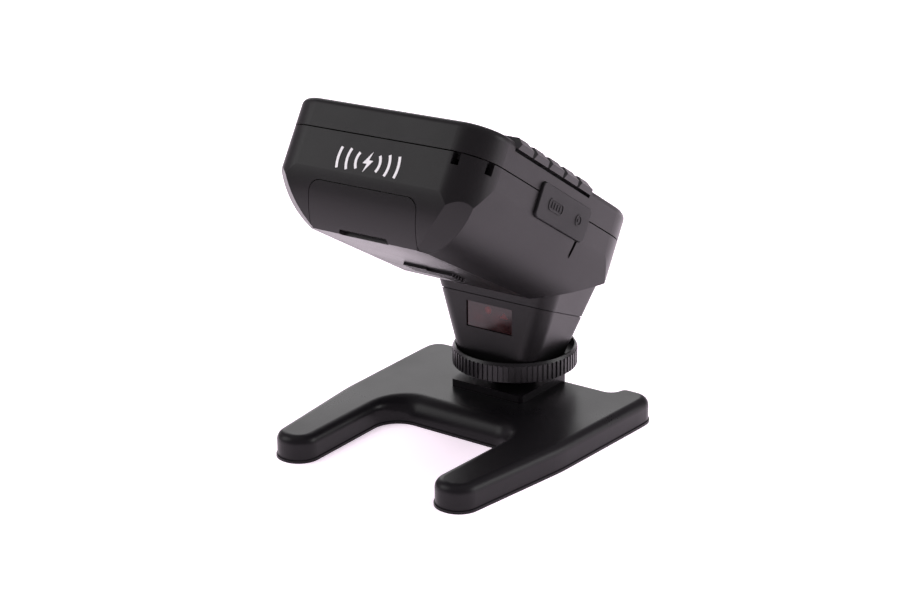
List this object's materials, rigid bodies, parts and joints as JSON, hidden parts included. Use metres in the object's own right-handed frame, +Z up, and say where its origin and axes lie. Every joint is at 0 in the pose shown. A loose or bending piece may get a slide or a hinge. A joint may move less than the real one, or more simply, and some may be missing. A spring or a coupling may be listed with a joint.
{
  "type": "wireless flash trigger",
  "caption": "Hot-shoe radio flash trigger with a tilted control head, side group keys, select dial, sliding battery door and knurled lock ring, on a forked shoe stand.",
  "frame": {"origin": "on the floor below the middle of the bounding box", "axes": "+Z up, -Y towards the subject (the head's high end), +X the side with the group keys and the port cover"},
  "size_m": [0.0878, 0.098, 0.1087],
  "materials": {
    "case_plastic": "fine-textured black",
    "stand_plastic": "satin black",
    "ring_plastic": "satin black",
    "key_plastic": "satin dark grey",
    "flap_rubber": "matt black",
    "mat_rubber": "grey silicone",
    "clear_lens": "clear",
    "display_panel": "grey liquid-crystal panel",
    "white_plastic": "white",
    "lamp_lens": "red, translucent",
    "red_window": "dark red filter",
    "circuit_board": "green solder mask",
    "plated_steel": "nickel plated",
    "foot_metal": "plain",
    "brass_parts": "plain",
    "black_epoxy": "black moulding",
    "battery_wrap": "plain wrap"
  },
  "bodies": {
    "stand": {"stand_base": "stand_plastic", "tripod_insert": "brass_parts"},
    "trigger": {"lower_shell": "case_plastic", "upper_cover": "case_plastic", "neck_housing": "case_plastic", "group_key_mat": "mat_rubber", "key_mat": "mat_rubber", "function_key_mat": "mat_rubber", "display_lens": "clear_lens", "lcd_glass": "display_panel", "lcd_frame": "white_plastic", "status_lens": "lamp_lens", "af_window": "red_window", "af_emitter": "lamp_lens", "main_board": "circuit_board", "key_board": "circuit_board", "af_board": "circuit_board", "rf_shield": "plated_steel", "processor": "black_epoxy", "antenna_strip": "brass_parts", "buzzer": "black_epoxy", "switch_bodies": "black_epoxy", "dial_encoder": "plated_steel", "usb_socket": "plated_steel", "sync_jack": "black_epoxy", "battery_left": "battery_wrap", "battery_right": "battery_wrap", "battery_springs": "plated_steel", "battery_contacts": "plated_steel", "battery_cradle": "black_epoxy", "case_screws": "plated_steel", "foot_plate": "foot_metal", "foot_screws": "plated_steel", "contact_pins": "brass_parts"},
    "door": {"battery_door": "case_plastic"},
    "port_flap": {"port_cover": "flap_rubber"},
    "ring": {"lock_ring": "ring_plastic"},
    "pin": {"lock_pin": "foot_metal"},
    "dial": {"select_dial": "ring_plastic"},
    "set_button": {"set_key": "key_plastic"},
    "power_slider": {"power_switch": "key_plastic"},
    "af_slider": {"af_switch": "key_plastic"},
    "mode_button": {"mode_key": "key_plastic"},
    "zoom_button": {"zoom_key": "key_plastic"},
    "convert_button": {"convert_key": "key_plastic"},
    "test_button": {"test_key": "key_plastic"},
    "group_button_1": {"group_key_1": "key_plastic"},
    "group_button_2": {"group_key_2": "key_plastic"},
    "group_button_3": {"group_key_3": "key_plastic"},
    "group_button_4": {"group_key_4": "key_plastic"},
    "group_button_5": {"group_key_5": "key_plastic"},
    "function_button_1": {"function_key_1": "key_plastic"},
    "function_button_2": {"function_key_2": "key_plastic"},
    "function_button_3": {"function_key_3": "key_plastic"},
    "function_button_4": {"function_key_4": "key_plastic"}
  },
  "joints": [
    {"name": "foot_slide", "type": "slide", "parent": "stand", "child": "trigger", "axis": [0, 1, 0], "range_m": [0, 0.022]},
    {"name": "ring_turn", "type": "hinge", "parent": "trigger", "child": "ring", "pos_m": [0, 0.02898, 0.017], "axis": [0, 0, 1], "range_deg": [0, 90]},
    {"name": "pin_drop", "type": "slide", "parent": "trigger", "child": "pin", "axis": [0, 0, -1], "range_m": [0, 0.0016]},
    {"name": "door_slide", "type": "slide", "parent": "trigger", "child": "door", "axis": [0, -0.8625, 0.506], "range_m": [0, 0.012]},
    {"name": "port_flap_hinge", "type": "hinge", "parent": "trigger", "child": "port_flap", "pos_m": [0.036, -0.01061, 0.08359], "axis": [0, -0.506, -0.8625], "range_deg": [0, 100]},
    {"name": "dial_spin", "type": "hinge", "parent": "trigger", "child": "dial", "pos_m": [-0.015, 0.03546, 0.06786], "axis": [0, 0.506, 0.8625], "continuous": true},
    {"name": "power_slide", "type": "slide", "parent": "trigger", "child": "power_slider", "axis": [0, 0.8625, -0.506], "range_m": [0, 0.005]},
    {"name": "af_slide", "type": "slide", "parent": "trigger", "child": "af_slider", "axis": [0, 0.8625, -0.506], "range_m": [0, 0.005]},
    {"name": "set_press", "type": "slide", "parent": "trigger", "child": "set_button", "axis": [0, -0.506, -0.8625], "range_m": [0, 0.0004], "stiffness_N_per_m": 1500, "springref_m": -0.0002},
    {"name": "mode_press", "type": "slide", "parent": "trigger", "child": "mode_button", "axis": [0, -0.506, -0.8625], "range_m": [0, 0.0004], "stiffness_N_per_m": 1500, "springref_m": -0.0002},
    {"name": "zoom_press", "type": "slide", "parent": "trigger", "child": "zoom_button", "axis": [0, -0.506, -0.8625], "range_m": [0, 0.0004], "stiffness_N_per_m": 1500, "springref_m": -0.0002},
    {"name": "convert_press", "type": "slide", "parent": "trigger", "child": "convert_button", "axis": [0, -0.506, -0.8625], "range_m": [0, 0.0004], "stiffness_N_per_m": 1500, "springref_m": -0.0002},
    {"name": "test_press", "type": "slide", "parent": "trigger", "child": "test_button", "axis": [0, -0.506, -0.8625], "range_m": [0, 0.0004], "stiffness_N_per_m": 1500, "springref_m": -0.0002},
    {"name": "group_press_1", "type": "slide", "parent": "trigger", "child": "group_button_1", "axis": [0, -0.506, -0.8625], "range_m": [0, 0.0004], "stiffness_N_per_m": 1500, "springref_m": -0.0002},
    {"name": "group_press_2", "type": "slide", "parent": "trigger", "child": "group_button_2", "axis": [0, -0.506, -0.8625], "range_m": [0, 0.0004], "stiffness_N_per_m": 1500, "springref_m": -0.0002},
    {"name": "group_press_3", "type": "slide", "parent": "trigger", "child": "group_button_3", "axis": [0, -0.506, -0.8625], "range_m": [0, 0.0004], "stiffness_N_per_m": 1500, "springref_m": -0.0002},
    {"name": "group_press_4", "type": "slide", "parent": "trigger", "child": "group_button_4", "axis": [0, -0.506, -0.8625], "range_m": [0, 0.0004], "stiffness_N_per_m": 1500, "springref_m": -0.0002},
    {"name": "group_press_5", "type": "slide", "parent": "trigger", "child": "group_button_5", "axis": [0, -0.506, -0.8625], "range_m": [0, 0.0004], "stiffness_N_per_m": 1500, "springref_m": -0.0002},
    {"name": "function_press_1", "type": "slide", "parent": "trigger", "child": "function_button_1", "axis": [0, -0.506, -0.8625], "range_m": [0, 0.0004], "stiffness_N_per_m": 1500, "springref_m": -0.0002},
    {"name": "function_press_2", "type": "slide", "parent": "trigger", "child": "function_button_2", "axis": [0, -0.506, -0.8625], "range_m": [0, 0.0004], "stiffness_N_per_m": 1500, "springref_m": -0.0002},
    {"name": "function_press_3", "type": "slide", "parent": "trigger", "child": "function_button_3", "axis": [0, -0.506, -0.8625], "range_m": [0, 0.0004], "stiffness_N_per_m": 1500, "springref_m": -0.0002},
    {"name": "function_press_4", "type": "slide", "parent": "trigger", "child": "function_button_4", "axis": [0, -0.506, -0.8625], "range_m": [0, 0.0004], "stiffness_N_per_m": 1500, "springref_m": -0.0002}
  ],
  "couplings": [
    {"joint": "pin_drop", "follows": "ring_turn", "m_per_rad": 0.001}
  ]
}
